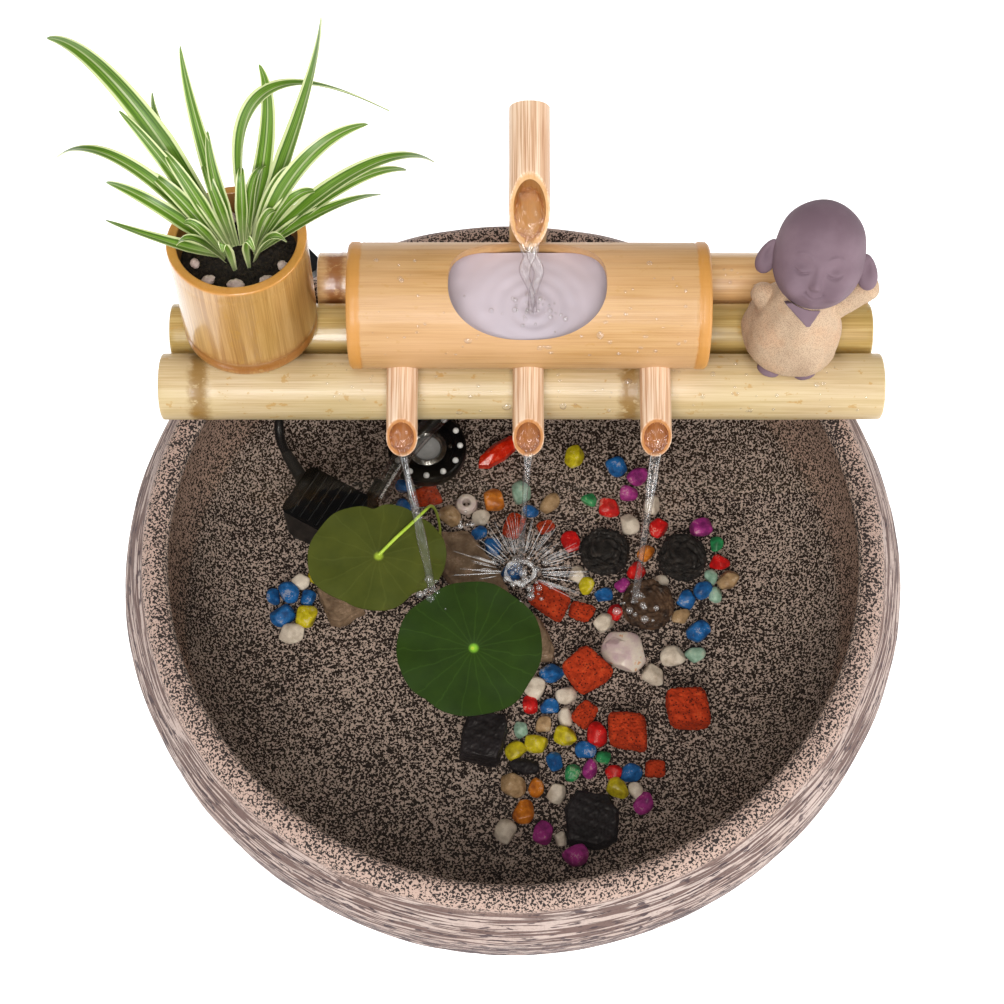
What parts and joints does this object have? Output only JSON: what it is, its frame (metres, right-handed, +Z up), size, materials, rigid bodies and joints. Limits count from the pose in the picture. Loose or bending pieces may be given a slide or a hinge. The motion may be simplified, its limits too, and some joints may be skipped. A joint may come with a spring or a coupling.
{
  "type": "tabletop water fountain",
  "caption": "Round stoneware basin with a bamboo raft across its rim: a trough with three spouts, a feed spout, a planter and a seated figure, over a pool with pump, stones and leaves.",
  "frame": {"origin": "centre of the basin's foot, on the table", "axes": "+Z up, +X to the right along the bamboo tubes, -Y towards the open front of the pool"},
  "size_m": [0.4016, 0.4352, 0.2953],
  "materials": {
    "stoneware": "speckled matt stoneware with a streaked outside",
    "bamboo_front": "varnished cream yellow bamboo",
    "bamboo_middle": "varnished olive bamboo",
    "bamboo_rear": "varnished tan bamboo",
    "dowel_wood": "plain",
    "bamboo_trough": "varnished warm bamboo",
    "bamboo_spout": "varnished pale bamboo",
    "bamboo_upright": "varnished pale bamboo",
    "bamboo_planter": "varnished orange tan bamboo",
    "soil": "damp potting fibre",
    "pale_stone": "tumbled",
    "leaf_striped": "waxy leaf with pale margins",
    "sand_clay": "coarse unglazed clay",
    "purple_clay": "fine unglazed clay",
    "black_plastic": "moulded satin",
    "grey_plastic": "moulded",
    "ceramic_white": "ground",
    "copper_winding": "enamelled wire",
    "resin_black": "potted",
    "black_rubber": "moulded",
    "clear_hose": "clear soft tube",
    "cord_pvc": "satin jacket",
    "tie_pvc": "moulded",
    "plug_pvc": "moulded",
    "plug_metal": "plated",
    "lamp_lens": "clear moulded lens",
    "ceramic_disc": "plated ceramic",
    "blue_stone": "dyed",
    "red_stone": "dyed",
    "yellow_stone": "dyed",
    "green_stone": "dyed",
    "magenta_stone": "dyed",
    "orange_stone": "dyed",
    "mint_stone": "dyed",
    "tan_stone": "tumbled",
    "lava_stone": "pitted",
    "dark_disc_stone": "gnarled",
    "slab_stone": "worn",
    "slate_stone": "worn",
    "fish_enamel": "moulded",
    "leaf_green": "soft moulded leaf"
  },
  "bodies": {
    "basin": {"basin": "stoneware", "pump_housing": "black_plastic", "pump_shaft": "ceramic_white", "pump_winding": "copper_winding", "pump_base_plate": "resin_black", "pump_feet": "black_rubber", "pump_gland": "black_rubber", "water_hose": "clear_hose", "cord_run": "cord_pvc", "cord_coil": "cord_pvc", "cord_tail": "cord_pvc", "cord_tie": "tie_pvc", "plug_body": "plug_pvc", "plug_pins": "plug_metal", "mist_body": "black_plastic", "mist_lamps": "lamp_lens", "mist_disc": "ceramic_disc", "mist_seal": "black_rubber", "mist_ring": "plug_metal", "mist_level_pin": "plug_metal", "mist_gland": "black_rubber", "blue_pebbles": "blue_stone", "red_pebbles": "red_stone", "yellow_pebbles": "yellow_stone", "green_pebbles": "green_stone", "magenta_pebbles": "magenta_stone", "orange_pebbles": "orange_stone", "white_pebbles": "pale_stone", "mint_pebbles": "mint_stone", "tan_pebbles": "tan_stone", "lava_cubes": "lava_stone", "lava_scraps": "lava_stone", "lava_discs": "dark_disc_stone", "flat_stone": "slab_stone", "dark_stones": "slate_stone", "shell_stone": "pale_stone", "toy_fish": "fish_enamel", "leaf_left": "leaf_green", "leaf_front": "leaf_green"},
    "raft": {"raft_tube_front": "bamboo_front", "raft_tube_middle": "bamboo_middle", "raft_tube_rear": "bamboo_rear", "raft_dowels": "dowel_wood", "trough": "bamboo_trough", "spout_left": "bamboo_spout", "spout_centre": "bamboo_spout", "spout_right": "bamboo_spout"},
    "feed": {"feed_upright": "bamboo_upright", "feed_spout": "bamboo_spout"},
    "planter": {"planter_cup": "bamboo_planter", "planter_soil": "soil", "planter_stones": "pale_stone", "spider_plant": "leaf_striped"},
    "monk": {"monk_robe": "sand_clay", "monk_head": "purple_clay", "monk_collar": "purple_clay", "monk_feet": "purple_clay"},
    "pump_cover": {"pump_cover": "black_plastic"},
    "flow_regulator": {"flow_regulator": "grey_plastic"},
    "impeller": {"pump_impeller": "grey_plastic"}
  },
  "joints": [
    {"name": "raft_lift", "type": "slide", "parent": "basin", "child": "raft", "axis": [0, 0, 1], "range_m": [0, 0.08]},
    {"name": "feed_swivel", "type": "hinge", "parent": "raft", "child": "feed", "pos_m": [0.007, 0.1338, 0.16], "axis": [0, 0, 1], "range_deg": [-35, 35]},
    {"name": "planter_lift", "type": "slide", "parent": "raft", "child": "planter", "axis": [0, 0, 1], "range_m": [0, 0.05]},
    {"name": "monk_lift", "type": "slide", "parent": "raft", "child": "monk", "axis": [0, 0, 1], "range_m": [0, 0.05]},
    {"name": "cover_pull", "type": "slide", "parent": "basin", "child": "pump_cover", "axis": [0.866, -0.5, 0], "range_m": [0, 0.012]},
    {"name": "regulator_slide", "type": "slide", "parent": "pump_cover", "child": "flow_regulator", "axis": [0.5, 0.866, 0], "range_m": [-0.005, 0.004]},
    {"name": "impeller_spin", "type": "hinge", "parent": "basin", "child": "impeller", "pos_m": [-0.093, 0.046, 0.0305], "axis": [0.866, -0.5, 0], "continuous": true}
  ]
}
